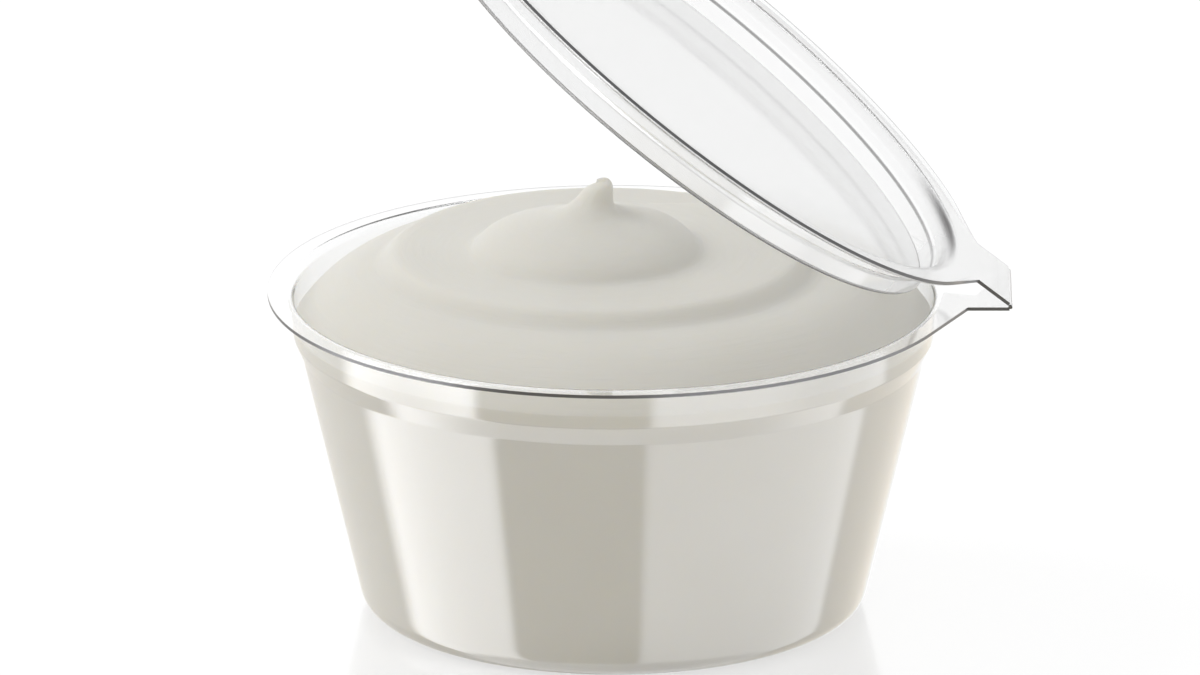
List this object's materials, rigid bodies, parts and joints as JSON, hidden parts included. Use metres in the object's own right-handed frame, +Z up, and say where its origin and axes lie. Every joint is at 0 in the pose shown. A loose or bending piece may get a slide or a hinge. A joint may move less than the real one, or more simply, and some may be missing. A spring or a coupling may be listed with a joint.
{
  "type": "dip tub",
  "caption": "Clear round portion tub with a flange and an attached hinged lid held half open, filled with a soft white dip swirled up to a small peak.",
  "frame": {"origin": "centre of the tub's flat underside, on the surface that it stands on", "axes": "+Z up along the tub's axis, +X towards the lid's hinge, Y along the hinge line"},
  "size_m": [0.0859, 0.081, 0.0915],
  "materials": {
    "clear_tub": "clear glossy thermoformed sheet",
    "clear_lid": "clear glossy thermoformed sheet",
    "white_dip": "soft satin off-white cream"
  },
  "bodies": {
    "tub": {"tub": "clear_tub", "dip": "white_dip"},
    "lid": {"lid": "clear_lid"}
  },
  "joints": [
    {"name": "lid_hinge", "type": "hinge", "parent": "tub", "child": "lid", "pos_m": [0.0457, 0, 0.038], "axis": [0, 1, 0], "range_deg": [-10, 142]}
  ]
}
